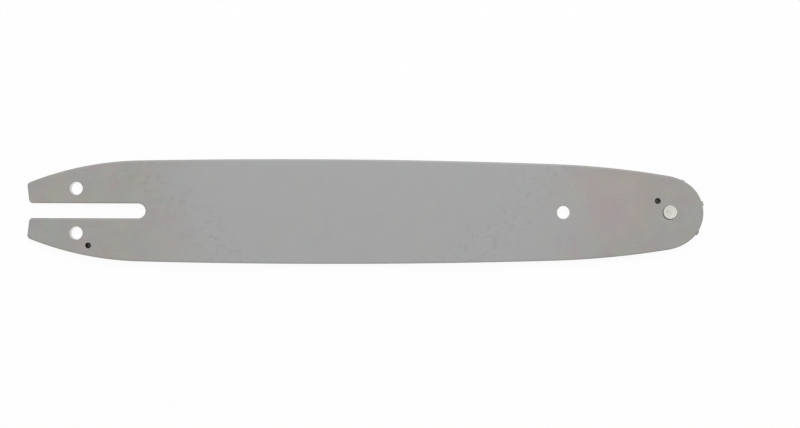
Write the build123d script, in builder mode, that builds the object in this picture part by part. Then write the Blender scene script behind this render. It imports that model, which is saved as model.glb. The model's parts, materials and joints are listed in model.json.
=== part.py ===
"""Laminated guide bar of a small chainsaw, lying flat on its back plate with the sprocket nose to +X.

Sizes are in mm. The origin is at the middle of the bar's length and width, on the back plate's outer face.
"""

import math
import os

from build123d import *

# Outline of the bar, seen from its front face
bar_length = 362.0
bar_width = 56.0
belly_station = -31.4  # where the bar is widest
belly_radius = 4074.0
tail_taper_length = 60.0  # from the tail end to where the belly ends
tail_width = 29.2  # at the tail end, over the sharp corners
tail_rake = 7.0  # degrees that the tail edges lean towards the slot
tail_corner_radius = 2.1
slot_corner_radius = 2.0
shoulder_length = 61.6  # from the nose centre back to where the belly ends
nose_radius = 18.8
nose_half_angle = 56.6  # degrees of nose arc on each side of the tip
cheek_blend = 0.2368  # share of the widest cheek, which would leave the shoulder straight

# Laminations
side_plate_thickness = 1.35
core_thickness = 1.3  # the gauge of the chain
groove_depth = 6.0
rail_chamfer = 0.3
cut_overrun = 10.0  # of a cutting outline past the plate

# Tail mount and holes, measured from the tail end
slot_width = 8.0
slot_length = 63.4
tension_hole_inset = 26.3
tension_hole_spacing = 23.9
tension_hole_diameter = 7.0
oil_hole_inset = 32.8
oil_hole_depth = 5.6  # below the rail edge
oil_hole_diameter = 3.1
oil_notch_clearance = 0.4

# Holes near the nose, measured from the sprocket's axis
hang_hole_setback = 56.9
hang_hole_diameter = 7.0
grease_hole_setback = 6.5
grease_hole_height = 6.3
grease_hole_diameter = 3.2

# Star sprocket
axis_advance = 0.8  # of the sprocket's axis past the nose centre
tooth_count = 7
tooth_projection = 1.05  # past the side plates at the tip of the bar
sprocket_wall = 2.7  # between the bearing's bore and the tooth roots
tooth_tip_width = 3.0
tooth_tip_fillet = 0.9
tooth_angle = 15.9  # degrees from the bar's axis to the tooth at the tip
pocket_clearance = 0.5
horn_fillet = 0.8
side_clearance = 0.05  # on each side of what turns between the plates

# Roller bearing and rivet
roller_diameter = 2.2
roller_count = 26
roller_gap = 0.03  # between neighbours
bearing_clearance = 0.03  # radial, inside and outside the rollers
race_edge = 0.1
rivet_shank_diameter = 6.0
rivet_head_diameter = 8.0  # over the mouth of the countersink
rivet_cone_angle = 90.0
rivet_rim = 0.27  # depth of the peened rim below the plate
rivet_fit = 0.02

# Heights of the stack
core_bottom = side_plate_thickness
core_top = core_bottom + core_thickness
bar_thickness = core_top + side_plate_thickness
turning_bottom = core_bottom + side_clearance
turning_thickness = core_thickness - 2 * side_clearance


def direction(degrees):
    """Unit vector in the bar's plane at an angle from +X."""
    return Vector(math.cos(math.radians(degrees)), math.sin(math.radians(degrees)))


def bearing_of(vector):
    """Angle from +X of a vector in the bar's plane, in degrees."""
    return math.degrees(math.atan2(vector.Y, vector.X))


def belly_normal(station):
    """Outward unit normal of the upper belly arc at a station along the bar."""
    across = (station - belly_station) / belly_radius
    return Vector(across, math.sqrt(1 - across**2))


# The upper running edge is a chain of tangent arcs: nose, cheek, shoulder, belly and tail
tail_end = -bar_length / 2
belly_center = Vector(belly_station, bar_width / 2 - belly_radius)
nose_center = Vector(bar_length / 2 - nose_radius, 0)
sprocket_axis = nose_center + Vector(axis_advance, 0)
shoulder_normal = belly_normal(nose_center.X - shoulder_length)
shoulder_join = belly_center + shoulder_normal * belly_radius
cheek_room = ((shoulder_join - nose_center).dot(shoulder_normal) - nose_radius) / (
    1 - direction(nose_half_angle).dot(shoulder_normal)
)
cheek_radius = nose_radius + cheek_blend * cheek_room
cheek_center = nose_center - direction(nose_half_angle) * (cheek_radius - nose_radius)
cheek_to_join = shoulder_join - cheek_center
shoulder_radius = (cheek_to_join.dot(cheek_to_join) - cheek_radius**2) / (
    2 * (cheek_to_join.dot(shoulder_normal) - cheek_radius)
)
shoulder_center = shoulder_join - shoulder_normal * shoulder_radius
tail_normal = belly_normal(tail_end + tail_taper_length)
tail_join = belly_center + tail_normal * belly_radius
tail_chord = Vector(tail_end, tail_width / 2) - tail_join
tail_radius = -tail_chord.dot(tail_chord) / (2 * tail_chord.dot(tail_normal))
tail_center = tail_join - tail_normal * tail_radius


def tail_height(station):
    """Height of the upper running edge at a station along the tail."""
    return tail_center.Y + math.sqrt(tail_radius**2 - (station - tail_center.X) ** 2)


# Each arc as its centre, its radius and the angle at which the next one takes over
past_tail = Vector(tail_end - cut_overrun, tail_height(tail_end - cut_overrun))
running_edge = [
    (nose_center, nose_radius, nose_half_angle),
    (cheek_center, cheek_radius, bearing_of(cheek_center - shoulder_center)),
    (shoulder_center, shoulder_radius, bearing_of(shoulder_normal)),
    (belly_center, belly_radius, bearing_of(tail_normal)),
    (tail_center, tail_radius, bearing_of(past_tail - tail_center)),
]
tail_lean = math.tan(math.radians(tail_rake))
tail_mouth = tail_end + tail_width / 2 * tail_lean

# Places of the holes on the front face
slot_end = tail_end + slot_length
tension_hole_places = [
    (tail_end + tension_hole_inset, tension_hole_spacing / 2),
    (tail_end + tension_hole_inset, -tension_hole_spacing / 2),
]
oil_station = tail_end + oil_hole_inset
oil_height = tail_height(oil_station) - oil_hole_depth
hang_hole_place = sprocket_axis - Vector(hang_hole_setback, 0)
grease_hole_place = sprocket_axis + Vector(-grease_hole_setback, grease_hole_height)

# The rollers fill their circle, and the race and the sprocket's bore follow from it
roller_circle = (roller_diameter + roller_gap) / (2 * math.sin(math.pi / roller_count))
race_radius = roller_circle - roller_diameter / 2 - bearing_clearance
sprocket_bore_radius = roller_circle + roller_diameter / 2 + bearing_clearance

# Each tooth gap is one circle through the root and the corners of two tooth tips
tip_radius = nose_radius - axis_advance + tooth_projection
root_radius = sprocket_bore_radius + sprocket_wall
gap_half_angle = math.pi / tooth_count - math.asin(tooth_tip_width / 2 / tip_radius)
gap_rise = tip_radius * math.cos(gap_half_angle) - root_radius
gap_half_mouth = tip_radius * math.sin(gap_half_angle)
gap_radius = (gap_rise**2 + gap_half_mouth**2) / (2 * gap_rise)

rivet_shank_radius = rivet_shank_diameter / 2
rivet_head_radius = rivet_head_diameter / 2
rivet_slope = math.tan(math.radians(rivet_cone_angle / 2))
rivet_head_depth = (rivet_head_radius - rivet_shank_radius) / rivet_slope


def lamination(inset):
    """Flat profile of one plate: the outline, moved inwards along its running edge, and the common holes."""
    with BuildSketch() as flat:
        with BuildLine():
            start = 0
            for center, radius, end in running_edge:
                arc = CenterArc(center, radius - inset, start, end - start)
                start = end
            Line(arc @ 1, ((arc @ 1).X, 0))
            mirror(about=Plane.XZ)
        make_face()
        # The raked tail edges, cut with one pointed outline well past the plate
        with BuildLine():
            Polyline(
                (tail_mouth, 0),
                (tail_mouth - bar_width * tail_lean, bar_width),
                (tail_end - 2 * cut_overrun, bar_width),
                (tail_end - 2 * cut_overrun, -bar_width),
                (tail_mouth - bar_width * tail_lean, -bar_width),
                close=True,
            )
        make_face(mode=Mode.SUBTRACT)
        fillet(flat.vertices().group_by(Axis.X)[0], tail_corner_radius)
        with Locations((slot_end, 0)):
            SlotOverall(
                slot_length + cut_overrun,
                slot_width,
                align=(Align.MAX, Align.CENTER),
                mode=Mode.SUBTRACT,
            )
        slot_ends = flat.vertices().filter_by(lambda end: math.isclose(abs(end.Y), slot_width / 2))
        fillet(slot_ends.sort_by(Axis.X)[:2], slot_corner_radius)
        with Locations(*tension_hole_places):
            Circle(tension_hole_diameter / 2, mode=Mode.SUBTRACT)
        with Locations(hang_hole_place):
            Circle(hang_hole_diameter / 2, mode=Mode.SUBTRACT)
    return flat.sketch


def side_plate(inner_face):
    """Outer plate of the bar, stamped flat and built outwards from the face that lies on the core."""
    with BuildPart() as plate:
        with BuildSketch(inner_face):
            add(lamination(0))
            with Locations((oil_station, -oil_height)):
                Circle(oil_hole_diameter / 2, mode=Mode.SUBTRACT)
            with Locations(grease_hole_place):
                Circle(grease_hole_diameter / 2, mode=Mode.SUBTRACT)
        extrude(amount=side_plate_thickness)
        outer_face = plate.faces().sort_by(Axis(inner_face.origin, inner_face.z_dir))[-1]
        chamfer(outer_face.outer_wire().edges(), rail_chamfer)
        with Locations(inner_face.offset(side_plate_thickness).location * Location(sprocket_axis)):
            CounterSinkHole(
                rivet_shank_radius + rivet_fit,
                rivet_head_radius + rivet_fit,
                counter_sink_angle=rivet_cone_angle,
            )
    return plate.part


os.makedirs("parts", exist_ok=True)

# The back plate is the same stamping as the front one, turned over about the bar's long axis
back_side_plate = side_plate(Plane((0, 0, core_bottom), x_dir=(1, 0, 0), z_dir=(0, 0, -1)))
back_side_plate.label = "back_side_plate"
export_step(back_side_plate, "parts/back_side_plate.step")

front_side_plate = side_plate(Plane((0, 0, core_top), x_dir=(1, 0, 0), z_dir=(0, 0, 1)))
front_side_plate.label = "front_side_plate"
export_step(front_side_plate, "parts/front_side_plate.step")

# The core stops short of the rails to leave the chain groove, and makes room for the sprocket at the nose
with BuildPart() as core_plate:
    with BuildSketch(Plane.XY.offset(core_bottom)) as core_flat:
        add(lamination(groove_depth))
        with Locations(sprocket_axis):
            Circle(tip_radius + pocket_clearance, mode=Mode.SUBTRACT)
        fillet(core_flat.vertices().group_by(Axis.X)[-1], horn_fillet)
        with Locations((oil_station, oil_height), (oil_station, -oil_height)):
            Circle(oil_hole_diameter / 2 + oil_notch_clearance, mode=Mode.SUBTRACT)
    extrude(amount=core_thickness)
core_plate.part.label = "core_plate"
export_step(core_plate.part, "parts/core_plate.step")

# The race is clamped between the plates by the rivet and does not turn
with BuildPart() as bearing_race:
    with BuildSketch(Plane(sprocket_axis + Vector(0, 0, core_bottom))):
        Circle(race_radius)
        Circle(rivet_shank_radius + rivet_fit, mode=Mode.SUBTRACT)
    extrude(amount=core_thickness)
    chamfer(bearing_race.edges().filter_by(GeomType.CIRCLE).sort_by(SortBy.RADIUS)[-2:], race_edge)
bearing_race.part.label = "bearing_race"
export_step(bearing_race.part, "parts/bearing_race.step")

# The full set of rollers stands between the race and the sprocket's bore
for number in range(1, roller_count + 1):
    roller_place = sprocket_axis + direction(number * 360 / roller_count) * roller_circle
    with BuildPart() as bearing_roller:
        with BuildSketch(Plane(roller_place + Vector(0, 0, turning_bottom))):
            Circle(roller_diameter / 2)
        extrude(amount=turning_thickness)
    bearing_roller.part.label = f"bearing_roller_{number:02d}"
    export_step(bearing_roller.part, f"parts/bearing_roller_{number:02d}.step")

# The star sprocket is drawn with its first gap on the sketch's own x axis
first_gap = direction(tooth_angle + 180 / tooth_count)
with BuildPart() as nose_sprocket:
    with BuildSketch(Plane(sprocket_axis + Vector(0, 0, turning_bottom), x_dir=first_gap)) as star:
        Circle(tip_radius)
        with PolarLocations(root_radius + gap_radius, tooth_count):
            Circle(gap_radius, mode=Mode.SUBTRACT)
        fillet(star.vertices(), tooth_tip_fillet)
        Circle(sprocket_bore_radius, mode=Mode.SUBTRACT)
    extrude(amount=turning_thickness)
nose_sprocket.part.label = "nose_sprocket"
export_step(nose_sprocket.part, "parts/nose_sprocket.step")

# The rivet is peened flush into a countersink in each side plate
with BuildPart() as nose_rivet:
    with BuildSketch(Plane.XZ.move(Location(sprocket_axis))):
        with BuildLine():
            Polyline(
                (0, 0),
                (rivet_head_radius - rivet_rim * (1 + rivet_slope), 0),
                (rivet_head_radius - rivet_rim * rivet_slope, rivet_rim),
                (rivet_shank_radius, rivet_head_depth),
                (rivet_shank_radius, bar_thickness - rivet_head_depth),
                (rivet_head_radius - rivet_rim * rivet_slope, bar_thickness - rivet_rim),
                (rivet_head_radius - rivet_rim * (1 + rivet_slope), bar_thickness),
                (0, bar_thickness),
                close=True,
            )
        make_face()
    revolve(axis=Axis(sprocket_axis, (0, 0, 1)))
nose_rivet.part.label = "nose_rivet"
export_step(nose_rivet.part, "parts/nose_rivet.step")
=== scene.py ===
import cmath
import json
import math

import bmesh
import bpy
from mathutils import Matrix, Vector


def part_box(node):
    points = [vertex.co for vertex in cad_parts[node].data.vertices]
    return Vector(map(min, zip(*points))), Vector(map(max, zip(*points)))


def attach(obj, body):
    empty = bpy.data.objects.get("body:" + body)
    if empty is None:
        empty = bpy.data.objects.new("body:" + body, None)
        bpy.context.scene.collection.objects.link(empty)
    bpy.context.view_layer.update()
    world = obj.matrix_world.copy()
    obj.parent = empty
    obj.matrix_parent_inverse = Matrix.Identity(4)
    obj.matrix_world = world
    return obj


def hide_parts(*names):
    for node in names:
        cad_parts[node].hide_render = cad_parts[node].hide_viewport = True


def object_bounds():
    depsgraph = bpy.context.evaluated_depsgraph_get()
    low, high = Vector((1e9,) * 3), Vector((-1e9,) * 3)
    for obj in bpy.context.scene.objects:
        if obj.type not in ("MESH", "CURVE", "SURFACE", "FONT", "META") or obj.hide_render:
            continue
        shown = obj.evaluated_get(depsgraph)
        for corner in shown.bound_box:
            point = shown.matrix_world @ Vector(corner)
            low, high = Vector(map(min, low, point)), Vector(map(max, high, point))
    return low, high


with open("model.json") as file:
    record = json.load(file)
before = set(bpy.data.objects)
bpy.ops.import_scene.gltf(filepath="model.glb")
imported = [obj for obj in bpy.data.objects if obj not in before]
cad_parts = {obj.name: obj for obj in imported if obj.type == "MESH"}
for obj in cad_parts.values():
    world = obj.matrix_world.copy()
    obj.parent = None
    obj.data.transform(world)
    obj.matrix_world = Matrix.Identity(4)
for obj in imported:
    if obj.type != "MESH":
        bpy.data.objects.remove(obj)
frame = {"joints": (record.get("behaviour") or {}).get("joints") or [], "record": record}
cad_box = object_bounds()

# Back side plate: the lower lamination, blanked from 1.35 mm carbon steel and drilled for oil and grease.
# The welded bar is sprayed with grey enamel and baked, and its running edges are then ground bright.
# Lengths are in millimetres, and a point of the bar's plane is a complex number.
mm = 0.001
bar_length, bar_width = 362.0, 56.0
belly_station, belly_radius = -31.4, 4074.0
tail_taper_length, tail_width, tail_rake = 60.0, 29.2, 7.0
tail_corner_radius, slot_corner_radius = 2.1, 2.0
slot_width, slot_length = 8.0, 63.4
shoulder_length, cheek_radius, nose_radius, nose_half_angle = 61.6, 26.896, 18.8, 56.6
rivet_hole_radius, countersink_depth = 3.02, 1.0
edge_roll = 1.05, 0.42  # width and depth of the rounding that the blanking die leaves along an edge
hole_roll = 0.2, 0.15
inner_roll = 0.05, 0.05
arc_error, longest_chord = 0.002, 4.0  # how closely the mesh follows an arc
hole_start = 7  # degrees, so that no corner of a hole's trace lines up with another hole's
crease = math.radians(35)  # an edge that turns by more than this stays sharp
quarter_turn = [math.radians(90 * step / 4) for step in range(5)]  # the angles of a rounding
enamel, ground, oiled, grime_and_shade, punched = range(5)  # a side plate's finishes, in the order of its materials

bores = {
    mount["name"]: (complex(*mount["pos_m"][:2]) / mm, mount["dims"]["r_mm"])
    for mount in frame["record"]["mounts"]
    if mount["kind"] == "bore"
}
through_holes = [bores["tension_pin_upper"], bores["tension_pin_lower"], bores["hang_hole"]]
joints = {joint["name"]: joint for joint in frame["joints"]}
axis = complex(*joints["sprocket_spin"]["pos_m"][:2]) / mm  # a little ahead of the nose arc's centre
axis_place = (axis.real * mm, axis.imag * mm, 0)
bar_top = cad_box[1][2] / mm


def dot(a, b):
    """Scalar product of two directions in the bar's plane."""
    return (a * b.conjugate()).real


def belly_normal(station):
    """Outward direction of the upper belly at a station along the bar."""
    across = (station - belly_station) / belly_radius
    return complex(across, math.sqrt(1 - across**2))


def bearing(way):
    """Angle of a direction from the bar's axis, in degrees."""
    return math.degrees(cmath.phase(way))


# Centres of the arcs along the upper half of the outline, which the lower half mirrors
nose = bar_length / 2 - nose_radius
cheek = nose - cmath.rect(cheek_radius - nose_radius, math.radians(nose_half_angle))
belly = complex(belly_station, bar_width / 2 - belly_radius)
# The shoulder's arc leaves the belly at its join and touches the cheek's arc
shoulder_normal = belly_normal(nose - shoulder_length)
shoulder_join = belly + shoulder_normal * belly_radius
cheek_to_join = shoulder_join - cheek
shoulder_radius = (abs(cheek_to_join) ** 2 - cheek_radius**2) / (
    2 * (dot(cheek_to_join, shoulder_normal) - cheek_radius)
)
shoulder = shoulder_join - shoulder_normal * shoulder_radius
# The tail's arc leaves the belly at its join and runs out to the tail's width at the raked end
tail_end = -bar_length / 2
tail_normal = belly_normal(tail_end + tail_taper_length)
tail_join = belly + tail_normal * belly_radius
tail_chord = complex(tail_end, tail_width / 2) - tail_join
tail_radius = -abs(tail_chord) ** 2 / (2 * dot(tail_chord, tail_normal))
tail = tail_join - tail_normal * tail_radius
tail_inward = cmath.rect(1, math.radians(tail_rake))
tail_mouth = tail_end + tail_width / 2 * math.tan(math.radians(tail_rake))


def arc(center, radius, start, end):
    """Trace of an arc between two angles in degrees: points, each with its direction into the material.
    That lies on the left of the way: inside an arc that runs anticlockwise, outside one that runs back."""
    chord = min(longest_chord, math.sqrt(8 * arc_error * radius))
    steps = max(2, math.ceil(abs(math.radians(end - start)) * radius / chord))
    inward = -1 if end > start else 1
    angles = [math.radians(start + (end - start) * step / steps) for step in range(steps + 1)]
    rays = [cmath.rect(1, angle) for angle in angles]
    return [(center + radius * ray, inward * ray) for ray in rays]


def joined(*arcs):
    """One trace of arcs that follow each other. A point that two of them share is kept once."""
    trace = []
    for points in arcs:
        if trace and abs(points[0][0] - trace[-1][0]) < 1e-6:
            points = points[1:]
        trace += points
    return trace


def hole(center, radius):
    """Trace of a round hole, clockwise, with the material outside it."""
    return arc(center, radius, 360 + hole_start, hole_start)[:-1]


def crossing(center_a, radius_a, center_b, radius_b):
    """Where two circles cross, on the left of the way from the first centre to the second."""
    way = center_b - center_a
    along = (radius_a**2 - radius_b**2 + abs(way) ** 2) / (2 * abs(way))
    return center_a + way / abs(way) * complex(along, math.sqrt(radius_a**2 - along**2))


def outline(front, inset, notch=None):
    """Whole outline of a lamination, and the steps of it that lie on the tail and in the slot. The front
    end is a trace from the bar's axis to the belly, and the running edge from there on is moved inwards.
    A notch, given by its centre and radius, is bitten out of the tail's running edge."""
    edge_radius = tail_radius - inset
    # The tail's corner touches its raked end and, from inside, the arc of its running edge
    corner = tail_mouth + tail_inward * tail_corner_radius
    reach = (tail - corner) / tail_inward
    rise = reach.imag + math.sqrt((edge_radius - tail_corner_radius) ** 2 - reach.real**2)
    corner += tail_inward * 1j * rise
    running = joined(
        front,
        arc(belly, belly_radius - inset, bearing(shoulder_normal), bearing(tail_normal)),
    )
    start = bearing(tail_normal)
    if notch:
        center, radius = notch
        first = crossing(center, radius, tail, edge_radius)
        last = crossing(tail, edge_radius, center, radius)
        running = joined(
            running,
            arc(tail, edge_radius, start, bearing(first - tail)),
            arc(center, radius, bearing(first - center), bearing(last - center)),
        )
        start = bearing(last - tail)
    running = joined(running, arc(tail, edge_radius, start, bearing(corner - tail)))
    # The slot's corner touches the raked end and the side of the slot
    mouth = complex(tail_mouth, slot_width / 2 + slot_corner_radius)
    mouth += (slot_corner_radius - mouth.imag * tail_inward.imag) / tail_inward.real
    upper = joined(
        running,
        arc(corner, tail_corner_radius, bearing(corner - tail), 180 + tail_rake),
        arc(mouth, slot_corner_radius, 180 + tail_rake, 270),
        arc(tail_end + slot_length - slot_width / 2, slot_width / 2, 90, 0),
    )
    lower = [(point.conjugate(), inward.conjugate()) for point, inward in reversed(upper[1:-1])]
    whole = upper + lower
    return whole, range(len(running) - 1, len(whole) + 1 - len(running))


def sheet_edge(bottom, top, low_roll, high_roll, rolled, wall):
    """Edge of a sheet from its lower face to its upper one, as (inset, height, finish of the band above).
    The roundings have one finish, and the wall between them another."""
    low_width, low_depth = low_roll
    high_width, high_depth = high_roll
    low = [
        (low_width * (1 - math.sin(t)), bottom + low_depth * (1 - math.cos(t)), rolled)
        for t in quarter_turn
    ]
    high = [
        (high_width * (1 - math.cos(t)), top - high_depth * (1 - math.sin(t)), rolled)
        for t in quarter_turn
    ]
    return low[:-1] + [(*low[-1][:2], wall)] + high


def set_shading(shape):
    """Turns every face outwards and keeps the edges of a closed shape sharp at its creases."""
    bmesh.ops.recalc_face_normals(shape, faces=shape.faces)
    for edge in shape.edges:
        edge.smooth = edge.calc_face_angle() < crease


def piece_of(name, shape, materials):
    """Puts a finished shape, drawn in mm, into the scene as one piece with its materials."""
    mesh = bpy.data.meshes.new(name)
    shape.to_mesh(mesh)
    shape.free()
    mesh.transform(Matrix.Scale(mm, 4))
    for material in materials:
        mesh.materials.append(material)
    piece = bpy.data.objects.new(name, mesh)
    bpy.context.scene.collection.objects.link(piece)
    return piece


def stamping(name, cuts, face_finishes, materials):
    """A flat piece cut from sheet. Each cut is a trace with its edge and the steps that were painted over,
    and the lower and the upper face are filled between the cuts."""
    shape = bmesh.new()
    rims = [], []
    for trace, edge, painted in cuts:
        rings = []
        for inset, height, _ in edge:
            moved = [point + inset * inward for point, inward in trace]
            rings.append([shape.verts.new((p.real, p.imag, height)) for p in moved])
        for low, high, (_, _, finish) in zip(rings, rings[1:], edge):
            for step in range(len(trace)):
                side = shape.faces.new((low[step - 1], low[step], high[step], high[step - 1]))
                side.smooth = True
                side.material_index = enamel if (step - 1) % len(trace) in painted else finish
        for rim, ring in zip(rims, (rings[0], rings[-1])):
            rim += [shape.edges.get((ring[step - 1], ring[step])) for step in range(len(ring))]
    for rim, finish in zip(rims, face_finishes):
        for part in bmesh.ops.triangle_fill(shape, edges=rim, use_beauty=True)["geom"]:
            if isinstance(part, bmesh.types.BMFace):
                part.material_index = finish
    set_shading(shape)
    return piece_of(name, shape, materials)


def linear(code):
    """Linear colour of an sRGB hex code."""
    parts = [int(code[place : place + 2], 16) / 255 for place in (1, 3, 5)]
    return [p / 12.92 if p <= 0.04045 else ((p + 0.055) / 1.055) ** 2.4 for p in parts] + [1]


def bare_material(name):
    """A material with an empty node tree, and that tree."""
    material = bpy.data.materials.new(name)
    material.use_nodes = True
    material.node_tree.nodes.clear()
    return material, material.node_tree


share, under, over, mixed = 0, 6, 7, 2  # sockets of a Mix node for colours: three inputs and its output


def node(tree, kind, inputs, **settings):
    """Adds a shader node with its settings and gives its outputs. Its inputs, by name or number, are
    values or outputs of other nodes."""
    added = tree.nodes.new("ShaderNode" + kind)
    for setting, value in settings.items():
        setattr(added, setting, value)
    for socket, value in inputs.items():
        if isinstance(value, bpy.types.NodeSocket):
            tree.links.new(value, added.inputs[socket])
        else:
            added.inputs[socket].default_value = value
    return added.outputs


def away_from(tree, place, spot, squeeze=1):
    """Distance on the face from a spot in mm. A squeeze counts it longer across the bar, for an oval."""
    back = (-spot.real * mm, -spot.imag * squeeze * mm, 0)
    flat = node(tree, "Mapping", {"Vector": place, "Location": back, "Scale": (1, squeeze, 0)})["Vector"]
    return node(tree, "VectorMath", {0: flat}, operation="LENGTH")["Value"]


# Baked grey enamel, sprayed on cold-rolled steel: an even mid grey with a soft sheen. The eye finds faint
# clouds where the film is thicker, a warmer and duller tone at the two ends, fine grit, painted shade
# along the rolled edges, and steel where edges have chafed.
baked_enamel, tree = bare_material("baked_grey_enamel")
place = node(tree, "TexCoord", {})["Object"]
coordinate = node(tree, "SeparateXYZ", {"Vector": place})
clouds = node(
    tree, "TexNoise", {"Vector": place, "Scale": 1 / (11 * mm), "Detail": 4.0, "Roughness": 0.65}
)
off_middle = node(tree, "Math", {0: coordinate["X"], 1: 4 * mm}, operation="SUBTRACT")[0]
off_middle = node(tree, "Math", {0: off_middle}, operation="ABSOLUTE")[0]
ragged = node(tree, "Math", {0: clouds["Fac"], 1: 50 * mm, 2: off_middle}, operation="MULTIPLY_ADD")[0]
ends = node(
    tree,
    "MapRange",
    {"Value": ragged, "From Min": 105 * mm, "From Max": 160 * mm},
    interpolation_type="SMOOTHSTEP",
)["Result"]
# A brownish breath of grease lies behind the nose, in an oval of 35 by 25 mm with a wide soft border
from_patch = away_from(tree, place, 129 + 5j, squeeze=1.4)
greased = node(
    tree, "MapRange", {"Value": from_patch, "From Min": 36 * mm, "From Max": 17 * mm}
)["Result"]
end_film = node(
    tree, "Mix", {share: greased, under: linear("#9F9D99"), over: linear("#A49D9A")}, data_type="RGBA"
)[mixed]
film = node(tree, "Mix", {share: ends, under: linear("#A5A5A5"), over: end_film}, data_type="RGBA")[mixed]
tint_share = node(tree, "MapRange", {"Value": ends, "To Min": 0.014, "To Max": 0.055})["Result"]
tinted = node(
    tree,
    "Mix",
    {share: tint_share, under: film, over: clouds["Color"]},
    data_type="RGBA",
    blend_type="LINEAR_LIGHT",
)[mixed]
# Dirt and painted shade: first the grit, thinner in the middle, drawn at 1.3 mm so that it shows
grit = node(tree, "TexNoise", {"Vector": place, "Scale": 1 / (1.3 * mm), "Detail": 1.0})["Fac"]
most_grit = node(tree, "MapRange", {"Value": ends, "To Min": 0.07, "To Max": 0.16})["Result"]
grit_share = node(
    tree, "MapRange", {"Value": grit, "From Min": 0.6, "From Max": 0.75, "To Max": most_grit}
)["Result"]
# Then flecks of dried oil along the border of the duller ends. On the bar's axis it lies about 89 mm from
# a station 10 mm behind the middle, and it comes nearer to that towards the lower edge.
from_border = node(tree, "Math", {0: coordinate["X"], 1: 10 * mm}, operation="ADD")[0]
from_border = node(tree, "Math", {0: from_border}, operation="ABSOLUTE")[0]
from_border = node(tree, "Math", {0: from_border, 1: coordinate["Y"]}, operation="SUBTRACT")[0]
from_border = node(
    tree, "Math", {0: clouds["Fac"], 1: 40 * mm, 2: from_border}, operation="MULTIPLY_ADD"
)[0]
from_border = node(tree, "Math", {0: from_border, 1: 109 * mm}, operation="SUBTRACT")[0]
from_border = node(tree, "Math", {0: from_border}, operation="ABSOLUTE")[0]
most_flecks = node(
    tree, "MapRange", {"Value": from_border, "From Min": 25 * mm, "From Max": 6 * mm, "To Max": 0.17}
)["Result"]
flecks = node(
    tree, "TexNoise", {"Vector": place, "Scale": 1 / (4 * mm), "Detail": 4.0, "Roughness": 0.7}
)["Fac"]
fleck_share = node(
    tree, "MapRange", {"Value": flecks, "From Min": 0.52, "From Max": 0.64, "To Max": most_flecks}
)["Result"]
# And a faint darker patch on the lower nose side of the rivet, and painted shade where the face turns over
# an edge
from_dark_patch = away_from(tree, place, axis + 4.2 - 1.8j)
darkening = node(
    tree, "MapRange", {"Value": from_dark_patch, "From Min": 5.5 * mm, "From Max": 2 * mm, "To Max": 0.09}
)["Result"]
facing = node(tree, "SeparateXYZ", {"Vector": node(tree, "NewGeometry", {})["Normal"]})["Z"]
flatness = node(tree, "Math", {0: facing}, operation="ABSOLUTE")[0]
on_edge = node(tree, "MapRange", {"Value": flatness, "From Min": 0.97, "From Max": 0.7})["Result"]
# Painted shade: the rolled edges are darkened a fifth of the way towards the dirt colour
painted_edge_shade = node(tree, "Math", {0: on_edge, 1: 0.2}, operation="MULTIPLY")[0]
dirt_and_shade = grit_share
for more in (fleck_share, darkening, painted_edge_shade):
    dirt_and_shade = node(tree, "Math", {0: dirt_and_shade, 1: more}, operation="ADD")[0]
dirtied_and_shaded = node(tree, "Mix", {share: dirt_and_shade, under: tinted, over: linear("#6F6D6A")}, data_type="RGBA")[mixed]
# Chafing: on the same edges, in patches of about 2 mm
patches = node(tree, "TexNoise", {"Vector": place, "Scale": 1 / (2.2 * mm), "Detail": 3.0})["Fac"]
patch_share = node(tree, "MapRange", {"Value": patches, "From Min": 0.5, "From Max": 0.62})["Result"]
bare = node(tree, "Math", {0: on_edge, 1: patch_share}, operation="MULTIPLY")[0]
worn = node(tree, "Mix", {share: bare, under: dirtied_and_shaded, over: linear("#8B8986")}, data_type="RGBA")[mixed]
sheen = node(
    tree,
    "MapRange",
    {"Value": clouds["Fac"], "From Min": 0.3, "From Max": 0.7, "To Min": 0.4, "To Max": 0.52},
)["Result"]
# Orange peel of the sprayed film, at 0.9 mm, drawn a little deeper than it is so that it shows
peel = node(tree, "TexNoise", {"Vector": place, "Scale": 1 / (0.9 * mm), "Detail": 1.5})["Fac"]
relief = node(tree, "Bump", {"Strength": 0.2, "Distance": 0.12 * mm, "Height": peel})["Normal"]
shader = node(
    tree, "BsdfPrincipled", {"Base Color": worn, "Metallic": bare, "Roughness": sheen, "Normal": relief}
)
node(tree, "OutputMaterial", {"Surface": shader["BSDF"]})

# Ground and hardened rail steel: bright grey with fine lines along the running edge, where the wheel
# passed. The lines are drawn 0.12 mm apart, coarser than the real ones, so that they show.
ground_steel, tree = bare_material("ground_rail_steel")
place = node(tree, "TexCoord", {})["Object"]
along = node(
    tree, "Mapping", {"Vector": place, "Scale": (1 / (25 * mm), 1 / (25 * mm), 1 / (0.12 * mm))}
)["Vector"]
lines = node(tree, "TexNoise", {"Vector": along, "Scale": 1.0, "Detail": 3.0})["Fac"]
stains = node(tree, "TexNoise", {"Vector": place, "Scale": 1 / (6 * mm), "Detail": 3.0})["Fac"]
stain_share = node(
    tree, "MapRange", {"Value": stains, "From Min": 0.45, "From Max": 0.75, "To Max": 0.7}
)["Result"]
bright = node(
    tree, "Mix", {share: lines, under: linear("#A5A39F"), over: linear("#86837E")}, data_type="RGBA"
)[mixed]
dulled = node(
    tree, "Mix", {share: stain_share, under: bright, over: linear("#736F69")}, data_type="RGBA"
)[mixed]
polish = node(
    tree, "MapRange", {"Value": lines, "From Min": 0.3, "From Max": 0.7, "To Min": 0.26, "To Max": 0.44}
)["Result"]
relief = node(tree, "Bump", {"Strength": 0.25, "Distance": 0.02 * mm, "Height": lines})["Normal"]
shader = node(
    tree, "BsdfPrincipled", {"Base Color": dulled, "Metallic": 1.0, "Roughness": polish, "Normal": relief}
)
node(tree, "OutputMaterial", {"Surface": shader["BSDF"]})

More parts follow.
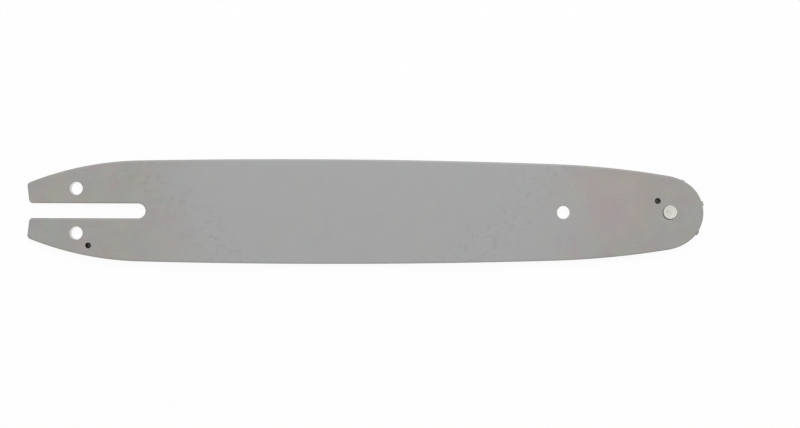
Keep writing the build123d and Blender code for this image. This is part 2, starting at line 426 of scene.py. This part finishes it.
# Punched hole wall, burnished by the punch after painting: bright steel, scored up and down, that mirrors
# the table. The scores are drawn 0.15 mm apart, coarser than the real ones, so that they show.
punched_steel, tree = bare_material("punch_burnished_steel")
place = node(tree, "TexCoord", {})["Object"]
upright = node(
    tree, "Mapping", {"Vector": place, "Scale": (1 / (0.15 * mm), 1 / (0.15 * mm), 1 / (3 * mm))}
)["Vector"]
scores = node(tree, "TexNoise", {"Vector": upright, "Scale": 1.0, "Detail": 2.0})["Fac"]
bright = node(
    tree, "Mix", {share: scores, under: linear("#E4E2DE"), over: linear("#BDBAB5")}, data_type="RGBA"
)[mixed]
polish = node(
    tree, "MapRange", {"Value": scores, "From Min": 0.3, "From Max": 0.7, "To Min": 0.18, "To Max": 0.34}
)["Result"]
shader = node(tree, "BsdfPrincipled", {"Base Color": bright, "Metallic": 1.0, "Roughness": polish})
node(tree, "OutputMaterial", {"Surface": shader["BSDF"]})

# Cold-rolled steel, bare inside the bar and soaked in chain oil: brownish black with a patchy wet shine.
oiled_steel, tree = bare_material("oil_blackened_rolled_steel")
place = node(tree, "TexCoord", {})["Object"]
soak = node(tree, "TexNoise", {"Vector": place, "Scale": 1 / (3 * mm), "Detail": 4.0})["Fac"]
black = node(
    tree, "Mix", {share: soak, under: linear("#302D2A"), over: linear("#544F49")}, data_type="RGBA"
)[mixed]
wet = node(
    tree, "MapRange", {"Value": soak, "From Min": 0.35, "From Max": 0.65, "To Min": 0.25, "To Max": 0.55}
)["Result"]
shader = node(tree, "BsdfPrincipled", {"Base Color": black, "Metallic": 0.6, "Roughness": wet})
node(tree, "OutputMaterial", {"Surface": shader["BSDF"]})

# Grime and painted shade in the rivet's rim: grease and dust packed into the countersink, with painted
# shade darkest towards the lower tail side, and thin enough at the other side to let the grey through.
rim_grime_and_shade, tree = bare_material("packed_grime_and_painted_shade")
place = node(tree, "TexCoord", {})["Object"]
from_axis = node(tree, "VectorMath", {0: place, 1: axis_place}, operation="SUBTRACT")["Vector"]
# Painted shade: the rim is made darker towards the lower tail side
towards_shaded_side = node(tree, "VectorMath", {0: from_axis, 1: (-0.77, -0.64, 0)}, operation="DOT_PRODUCT")["Value"]
crumbs = node(tree, "TexNoise", {"Vector": place, "Scale": 1 / (0.5 * mm), "Detail": 3.0})["Fac"]
uneven = node(tree, "Math", {0: crumbs, 1: 3 * mm, 2: towards_shaded_side}, operation="MULTIPLY_ADD")[0]
packed_and_shaded = node(tree, "MapRange", {"Value": uneven, "From Min": -0.8 * mm, "From Max": 4.2 * mm})["Result"]
dark = node(
    tree, "Mix", {share: packed_and_shaded, under: linear("#9E9B96"), over: linear("#767370")}, data_type="RGBA"
)[mixed]
relief = node(tree, "Bump", {"Strength": 0.5, "Distance": 0.05 * mm, "Height": crumbs})["Normal"]
shader = node(tree, "BsdfPrincipled", {"Base Color": dark, "Roughness": 0.7, "Normal": relief})
node(tree, "OutputMaterial", {"Surface": shader["BSDF"]})

plate_front = joined(
    arc(nose, nose_radius, 0, nose_half_angle),
    arc(cheek, cheek_radius, nose_half_angle, bearing(cheek - shoulder)),
    arc(shoulder, shoulder_radius, bearing(cheek - shoulder), bearing(shoulder_normal)),
)
countersink_mouth = [
    # how far past the edge of the cone, how deep, and the finish above
    (-0.25, 0.25, grime_and_shade),
    (-0.07, 0.1, enamel),
    (0.13, 0.035, enamel),
    (0.38, 0, enamel),
]


def side_plate(name):
    """A side plate, drawn where the front one lies: enamel outside, ground rails, an oiled inner face, and
    a rivet hole whose countersink has a mouth softened by the paint."""
    low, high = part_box("front_side_plate")
    inner, outer = low.z / mm, high.z / mm
    running_edge = sheet_edge(inner, outer, inner_roll, edge_roll, enamel, ground)
    punched_edge = sheet_edge(inner, outer, inner_roll, hole_roll, enamel, punched)
    oily_edge = sheet_edge(inner, outer, inner_roll, hole_roll, enamel, oiled)
    countersink = [
        (inner_roll[0], inner, oiled),
        (0, inner + inner_roll[1], oiled),
        (0, outer - countersink_depth, grime_and_shade),
    ]
    countersink += [
        (countersink_depth + past, outer - depth, finish) for past, depth, finish in countersink_mouth
    ]
    whole, tail_steps = outline(plate_front, 0)
    cuts = [(whole, running_edge, tail_steps)]
    cuts += [(hole(*bore), punched_edge, ()) for bore in through_holes]
    cuts += [(hole(*bores[port]), oily_edge, ()) for port in ("oil_port_front", "grease_port_front")]
    cuts += [(hole(axis, rivet_hole_radius), countersink, ())]
    materials = baked_enamel, ground_steel, oiled_steel, rim_grime_and_shade, punched_steel
    return stamping(name, cuts, (oiled, enamel), materials)


back_plate = side_plate("back_plate")
turned_over = Matrix.Translation((0, 0, bar_top * mm)) @ Matrix.Rotation(math.pi, 4, "X")
back_plate.data.transform(turned_over)
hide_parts("back_side_plate")
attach(back_plate, "bar")

# Core plate: the middle lamination, 1.3 mm steel strip whose thickness sets the groove's width. It is spot
# welded between the side plates, stops short of the rails, opens round the sprocket, and is notched so
# that oil reaches the chain.
groove_depth, pocket_radius, horn_radius = 6.0, 19.55, 0.8
oil_notch_radius = 1.95
strip, bored = 1, 2  # the core's finishes after the enamel, in the order of its materials

# Blanked strip steel, mill-rolled and oiled: a dull brownish grey on the cut edge, deep in the groove.
strip_steel, tree = bare_material("oiled_strip_steel")
place = node(tree, "TexCoord", {})["Object"]
film = node(tree, "TexNoise", {"Vector": place, "Scale": 1 / (4 * mm), "Detail": 4.0})["Fac"]
brown = node(
    tree, "Mix", {share: film, under: linear("#2E2B28"), over: linear("#5A554F")}, data_type="RGBA"
)[mixed]
dull = node(
    tree, "MapRange", {"Value": film, "From Min": 0.3, "From Max": 0.7, "To Min": 0.35, "To Max": 0.6}
)["Result"]
shader = node(tree, "BsdfPrincipled", {"Base Color": brown, "Metallic": 0.8, "Roughness": dull})
node(tree, "OutputMaterial", {"Surface": shader["BSDF"]})

low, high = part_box("core_plate")
groove_floor = sheet_edge(low.z / mm, high.z / mm, inner_roll, inner_roll, strip, strip)
bored_edge = sheet_edge(low.z / mm, high.z / mm, inner_roll, inner_roll, bored, bored)
# The horns between the groove and the sprocket's pocket are rounded off
horn = crossing(shoulder, shoulder_radius - groove_depth - horn_radius, axis, pocket_radius + horn_radius)
horn_top = bearing(horn - shoulder)
core_front = joined(
    arc(axis, pocket_radius, 180, bearing(horn - axis)),
    arc(horn, horn_radius, bearing(horn - axis) - 180, horn_top),
    arc(shoulder, shoulder_radius - groove_depth, horn_top, bearing(shoulder_normal)),
)
oil_notch = bores["oil_port_back"][0], oil_notch_radius
whole, tail_steps = outline(core_front, groove_depth, oil_notch)
cuts = [(whole, groove_floor, tail_steps)]
cuts += [(hole(*bore), bored_edge, ()) for bore in through_holes]
core = stamping("core", cuts, (strip, strip), (baked_enamel, strip_steel, punched_steel))
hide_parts("core_plate")
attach(core, "bar")

# Bearing race: a hardened ring, clamped by the rivet between the side plates, on which the rollers run.
# It does not turn. Its rim is ground, its corners are broken, and it sits in grease.
race_radius, race_hole_radius, race_sides = 8.12, 3.02, 128
race_corner, race_corner_bulge = 0.1, 0.03  # from the corner to where it starts, and to its middle


def both_ends(end, low, high):
    """Profile of a round piece whose lower and upper end are alike, given as (radius, depth) in mm."""
    lower = [(radius, low + depth) for radius, depth in end]
    upper = [(radius, high - depth) for radius, depth in reversed(end)]
    return lower + upper


def turning(name, profile, sides, materials):
    """A round piece: a profile of (radius, height) in mm, turned about Z. A profile that starts off the
    axis is closed to a ring."""
    shape = bmesh.new()
    rings = []
    for radius, height in profile:
        rays = [cmath.rect(radius, math.tau * step / sides) for step in range(sides if radius else 1)]
        ring = [shape.verts.new((ray.real, ray.imag, height)) for ray in rays]
        rings.append(ring if radius else ring * sides)
    if profile[0][0] > 0:
        rings.append(rings[0])
    for low, high in zip(rings, rings[1:]):
        for step in range(sides):
            # A point on the axis is the end of every step, and counts once in a face
            corners = dict.fromkeys((low[step - 1], low[step], high[step], high[step - 1]))
            side = shape.faces.new(list(corners))
            side.smooth = True
    set_shading(shape)
    return piece_of(name, shape, materials)


# Bearing steel in dark grease: polished grey metal under a brown-black film that pools and shines.
greased_steel, tree = bare_material("greased_bearing_steel")
place = node(tree, "TexCoord", {})["Object"]
darkening = node(tree, "TexNoise", {"Vector": place, "Scale": 1 / (1.5 * mm), "Detail": 3.0})["Fac"]
smear_share = node(tree, "MapRange", {"Value": darkening, "From Min": 0.35, "From Max": 0.7})["Result"]
darkened = node(
    tree, "Mix", {share: smear_share, under: linear("#413C36"), over: linear("#241F1B")}, data_type="RGBA"
)[mixed]
slick = node(
    tree, "MapRange", {"Value": darkening, "From Min": 0.35, "From Max": 0.7, "To Min": 0.16, "To Max": 0.4}
)["Result"]
shader = node(
    tree,
    "BsdfPrincipled",
    {"Base Color": darkened, "Metallic": 0.7, "Roughness": slick, "Coat Weight": 0.3, "Coat Roughness": 0.12},
)
node(tree, "OutputMaterial", {"Surface": shader["BSDF"]})

low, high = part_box("bearing_race")
race_end = [
    (race_hole_radius, 0),
    (race_radius - race_corner, 0),
    (race_radius - race_corner_bulge, race_corner_bulge),
    (race_radius, race_corner),
]
race = turning("race", both_ends(race_end, low.z / mm, high.z / mm), race_sides, [greased_steel])
race.location = axis_place
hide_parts("bearing_race")
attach(race, "bar")

# Bearing rollers: 26 short hardened cylinders that fill the space between race and sprocket, with no cage.
# Each is ground all over with rounded ends, and all stand in grease that is pumped in through the plates.
roller_rounding, roller_sides = 0.15, 36
for number, cad_roller in enumerate(frame["record"]["behaviour"]["bodies"]["rollers"], 1):
    low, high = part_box(cad_roller)
    flat_radius = (high.x - low.x) / 2 / mm - roller_rounding
    roller_end = [(0, 0)]
    for t in quarter_turn:
        roller_end += [(flat_radius + roller_rounding * math.sin(t), roller_rounding * (1 - math.cos(t)))]
    roller_profile = both_ends(roller_end, low.z / mm, high.z / mm)
    roller = turning(f"roller_{number:02d}", roller_profile, roller_sides, [greased_steel])
    roller.location = ((low.x + high.x) / 2, (low.y + high.y) / 2, 0)
    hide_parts(cad_roller)
    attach(roller, "rollers")

# Nose sprocket: a seven-pointed star that carries the chain round the nose, stamped from hardening steel.
# It turns on the rollers between the side plates, and only its tooth tips stand past them.
tooth_count, tooth_angle, tip_radius, tip_width, tip_fillet = 7, 15.9, 19.05, 3.0, 0.9
root_radius, bore_radius = 13.08, 10.38
tooth_roll = 0.14, 0.12
tumbled = 0  # its one finish

# One gap, drawn on the bar's axis: half a tip, a fillet, the gap's arc, a fillet and half the next tip
gap_half_angle = math.pi / tooth_count - math.asin(tip_width / 2 / tip_radius)
gap_rise = tip_radius * math.cos(gap_half_angle) - root_radius
gap_radius = (gap_rise**2 + (tip_radius * math.sin(gap_half_angle)) ** 2) / (2 * gap_rise)
gap = root_radius + gap_radius
fillet = crossing(0, tip_radius - tip_fillet, gap, gap_radius + tip_fillet)
tip_end, gap_end = bearing(fillet), bearing(gap - fillet.conjugate())
pitch = joined(
    arc(0, tip_radius, -180 / tooth_count, -tip_end),
    arc(fillet.conjugate(), tip_fillet, -tip_end, gap_end),
    arc(gap, gap_radius, gap_end - 180, -180 - gap_end),
    arc(fillet, tip_fillet, -gap_end, tip_end),
    arc(0, tip_radius, tip_end, 180 / tooth_count),
)
star = []
for tooth in range(tooth_count):
    turn = cmath.rect(1, math.radians(tooth_angle + (tooth + 0.5) * 360 / tooth_count))
    star += [(axis + point * turn, inward * turn) for point, inward in pitch[:-1]]

# Hardened and tumbled sprocket steel: satin mid grey with small marks in every direction from the
# tumbling barrel, drawn at 0.4 mm so that they show, and a brown breath of oil with painted shade
# towards the hub, between the plates.
tumbled_steel, tree = bare_material("hardened_tumbled_steel")
place = node(tree, "TexCoord", {})["Object"]
from_axis = node(tree, "VectorMath", {0: place, 1: axis_place}, operation="SUBTRACT")["Vector"]
out = node(tree, "VectorMath", {0: from_axis}, operation="LENGTH")["Value"]
# Painted shade: the steel turns darker from the tips towards the hub, inside the plates
outwards = node(tree, "MapRange", {"Value": out, "From Min": 13 * mm, "From Max": 18 * mm})["Result"]
steel = node(
    tree, "Mix", {share: outwards, under: linear("#57524C"), over: linear("#BDBAB4")}, data_type="RGBA"
)[mixed]
marks = node(tree, "TexNoise", {"Vector": place, "Scale": 1 / (0.4 * mm), "Detail": 4.0})["Fac"]
marked = node(tree, "Mix", {share: marks, under: steel, over: linear("#8E8B86")}, data_type="RGBA")[mixed]
# Painted shadow of the front plate on the lowest tooth, darker towards the lower nose side
lower_nose_side = (0.8, -0.6, 0)
downwards = node(tree, "VectorMath", {0: from_axis, 1: lower_nose_side}, operation="DOT_PRODUCT")["Value"]
painted_shadow_share = node(
    tree, "MapRange", {"Value": downwards, "From Min": 15.5 * mm, "From Max": 18.5 * mm, "To Max": 0.45}
)["Result"]
darkened = node(
    tree, "Mix", {share: painted_shadow_share, under: marked, over: linear("#4A4641")}, data_type="RGBA"
)[mixed]
satin = node(
    tree, "MapRange", {"Value": marks, "From Min": 0.3, "From Max": 0.7, "To Min": 0.3, "To Max": 0.5}
)["Result"]
relief = node(tree, "Bump", {"Strength": 0.2, "Distance": 0.02 * mm, "Height": marks})["Normal"]
shader = node(
    tree, "BsdfPrincipled", {"Base Color": darkened, "Metallic": 1.0, "Roughness": satin, "Normal": relief}
)
node(tree, "OutputMaterial", {"Surface": shader["BSDF"]})

low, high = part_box("nose_sprocket")
tooth_edge = sheet_edge(low.z / mm, high.z / mm, tooth_roll, tooth_roll, tumbled, tumbled)
cuts = [(star, tooth_edge, ()), (hole(axis, bore_radius), tooth_edge, ())]
sprocket = stamping("sprocket_star", cuts, (tumbled, tumbled), [tumbled_steel])
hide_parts("nose_sprocket")
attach(sprocket, "sprocket")

# Front side plate: the upper lamination, from the back one's blanking tool and in the same enamel.
# It is spot welded to the core over the finished nose, and its oil hole comes out beside the other rail.
front_plate = side_plate("front_plate")
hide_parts("front_side_plate")
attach(front_plate, "bar")

# Nose rivet: a soft steel pin through both plates and the race, peened flush into the countersinks.
# Its heads are left bare after painting, a little dished and marked by the peening tool.
rivet_radius, head_radius, head_rim_depth, crown_radius = 3.0, 4.0, 0.27, 3.52
crown_lean = 0.36 + 0.42j  # how far the peening pushed the crown off the rivet's axis
crown_rings, rivet_sides = 24, 96
grime_and_shade_start = crown_radius + 0.04
peened, grimy_and_shaded = 0, 1  # the rivet's finishes, in the order of its materials
dents = [
    # place on the head, radius and depth
    (-1.75 + 0.1j, 1.1, 0.05),
    (0.9 - 1.9j, 0.5, 0.035),
    (1.3 - 1.4j, 0.5, 0.035),
    (1.7 - 0.9j, 0.5, 0.035),
    (1.9 - 1.9j, 0.45, 0.03),
    (2.3 - 1.4j, 0.45, 0.03),
    (0.3 + 2.2j, 0.7, 0.02),
]

# Peened soft steel: pale and almost white, since the hammered skin scatters the light. Its fine grain is
# drawn at 0.6 mm so that it shows.
peened_steel, tree = bare_material("peened_rivet_steel")
place = node(tree, "TexCoord", {})["Object"]
grain = node(tree, "TexNoise", {"Vector": place, "Scale": 1 / (0.6 * mm), "Detail": 3.0})["Fac"]
pale = node(
    tree, "Mix", {share: grain, under: linear("#CCC9C4"), over: linear("#BCB9B2")}, data_type="RGBA"
)[mixed]
# The drag marks are 1.3 mm apart and cross only the lower nose side
steep = node(tree, "Mapping", {"Vector": place, "Rotation": (0, 0, math.radians(27))})["Vector"]
wave_length = math.pi / 10  # of the wave texture, before it is scaled
drag = node(
    tree,
    "TexWave",
    {"Vector": steep, "Scale": wave_length / (1.3 * mm), "Distortion": 0.5, "Phase Offset": 1.45},
)["Fac"]
dragged = node(
    tree, "Mix", {share: drag, under: linear("#B6B3AD"), over: linear("#DCD9D4")}, data_type="RGBA"
)[mixed]
side = node(tree, "VectorMath", {0: place, 1: lower_nose_side}, operation="DOT_PRODUCT")["Value"]
drag_share = node(
    tree, "MapRange", {"Value": side, "From Min": 0.2 * mm, "From Max": 1.4 * mm, "To Max": 0.75}
)["Result"]
marked = node(tree, "Mix", {share: drag_share, under: pale, over: dragged}, data_type="RGBA")[mixed]
# A dull dent lies on the tail side
from_dent = away_from(tree, place, -1.04 + 0.42j)
dull_share = node(
    tree, "MapRange", {"Value": from_dent, "From Min": 1.3 * mm, "From Max": 0.3 * mm, "To Max": 0.8}
)["Result"]
dented = node(
    tree, "Mix", {share: dull_share, under: marked, over: linear("#ABA7A1")}, data_type="RGBA"
)[mixed]
matt = node(
    tree, "MapRange", {"Value": grain, "From Min": 0.3, "From Max": 0.7, "To Min": 0.32, "To Max": 0.5}
)["Result"]
relief = node(tree, "Bump", {"Strength": 0.25, "Distance": 0.04 * mm, "Height": grain})["Normal"]
shader = node(
    tree, "BsdfPrincipled", {"Base Color": dented, "Metallic": 1.0, "Roughness": matt, "Normal": relief}
)
node(tree, "OutputMaterial", {"Surface": shader["BSDF"]})

rim_width = head_radius - head_rim_depth - crown_radius
rivet_end = [(crown_radius * ring / crown_rings, 0) for ring in range(crown_rings)]
for t in quarter_turn:
    rivet_end += [(crown_radius + rim_width * math.sin(t), head_rim_depth * (1 - math.cos(t)))]
rivet_end += [(rivet_radius, countersink_depth)]
rivet = turning("rivet", both_ends(rivet_end, 0, bar_top), rivet_sides, [peened_steel, rim_grime_and_shade])
# The rivet's rim takes the packed grime with its painted shade
for face in rivet.data.polygons:
    out = math.hypot(face.center.x, face.center.y) / mm
    face.material_index = grimy_and_shaded if out > grime_and_shade_start else peened
# Each head is dented and leans the same way, seen from its own side
for vertex in rivet.data.vertices:
    front = vertex.co.z > bar_top * mm / 2
    at = complex(vertex.co.x, vertex.co.y if front else -vertex.co.y) / mm
    below = min(vertex.co.z / mm, bar_top - vertex.co.z / mm)
    moved = at + crown_lean * max(0, 1 - below / head_rim_depth) ** 2
    if abs(at) < crown_radius:
        for center, reach, deepest in dents:
            below += deepest * max(0, 1 - abs(at - center) ** 2 / reach**2) ** 2
    vertex.co = (moved.real, moved.imag if front else -moved.imag, bar_top - below if front else below)
    vertex.co *= mm
rivet.location = axis_place
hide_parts("nose_rivet")
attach(rivet, "bar")

# Studio: the bar lies on a white table under a soft sky and one large softbox at the far side.
# The camera looks straight down from where the photograph was taken, a fifth of a degree askew.
photo_scale = 0.535331  # mm of bar to a pixel, in the plane of the rolled rim that makes the outline
photo_center = complex(365.23, 211.74)  # pixel of the bar's middle
photo_turn = 0.2125  # degrees, clockwise
photo_width, photo_height = 800, 428
lens, sensor = 50.0, 36.0
table_reach, table_drop = 3000, 0.02  # the drop keeps the table clear of the back plate's face
softbox_size, softbox_watts, softbox_place = 0.9, 9.4, (0.05, 0.85, 1.05)  # in metres
sky_strength = 0.55  # with the softbox, a level at which a colour renders about as it is written


def watched(tree):
    """Whether a ray shows what it meets to the camera: straight, or by something glossy or clear."""
    path = node(tree, "LightPath", {})
    seen = node(tree, "Math", {0: path["Is Camera Ray"], 1: path["Is Glossy Ray"]}, operation="ADD")[0]
    return node(
        tree, "Math", {0: seen, 1: path["Is Transmission Ray"]}, operation="ADD", use_clamp=True
    )[0]


# White laminate: a plain matt white that keeps a soft shadow. The camera and what mirrors it see it mostly
# glowing.
table_white, tree = bare_material("white_laminate")
place = node(tree, "TexCoord", {})["Object"]
mottle = node(tree, "TexNoise", {"Vector": place, "Scale": 1 / (40 * mm)})["Fac"]
white = node(
    tree, "Mix", {share: mottle, under: linear("#FCFCFB"), over: linear("#F9F9F8")}, data_type="RGBA"
)[mixed]
matt = node(tree, "BsdfDiffuse", {"Color": white})["BSDF"]
glow = node(tree, "Emission", {"Color": linear("#FFFFFF"), "Strength": 1.0})["Emission"]
glow_share = node(tree, "MapRange", {"Value": watched(tree), "To Max": 0.93})["Result"]
laminate = node(tree, "MixShader", {0: glow_share, 1: matt, 2: glow})["Shader"]
node(tree, "OutputMaterial", {"Surface": laminate})
shape = bmesh.new()
bmesh.ops.create_grid(shape, x_segments=1, y_segments=1, size=table_reach)
table = piece_of("table", shape, [table_white])
table.location = (0, 0, -table_drop * mm)

sky = bpy.data.worlds.new("studio_sky")
sky.use_nodes = True
tree = sky.node_tree
tree.nodes.clear()
strength = node(
    tree, "MapRange", {"Value": watched(tree), "To Min": sky_strength, "To Max": 1.0}
)["Result"]
backdrop = node(tree, "Background", {"Color": linear("#FFFFFF"), "Strength": strength})["Background"]
node(tree, "OutputWorld", {"Surface": backdrop})
bpy.context.scene.world = sky

lamp = bpy.data.lights.new("far_softbox", "AREA")
lamp.shape, lamp.size, lamp.energy = "SQUARE", softbox_size, softbox_watts
softbox = bpy.data.objects.new("far_softbox", lamp)
softbox.location = softbox_place
softbox.rotation_euler = softbox.location.to_track_quat("Z", "Y").to_euler()
bpy.context.scene.collection.objects.link(softbox)

aim = complex(photo_width / 2, photo_height / 2) - photo_center
aim = aim.conjugate() * photo_scale * cmath.rect(1, math.radians(photo_turn))
distance = photo_width * photo_scale * lens / sensor
view = bpy.data.cameras.new("photo_camera")
view.lens, view.sensor_width = lens, sensor
camera = bpy.data.objects.new("photo_camera", view)
camera.location = (aim.real * mm, aim.imag * mm, (bar_top - edge_roll[1] + distance) * mm)
camera.rotation_euler = (0, 0, math.radians(photo_turn))
bpy.context.scene.collection.objects.link(camera)
bpy.context.scene.camera = camera
bpy.context.scene.view_settings.view_transform = "Standard"
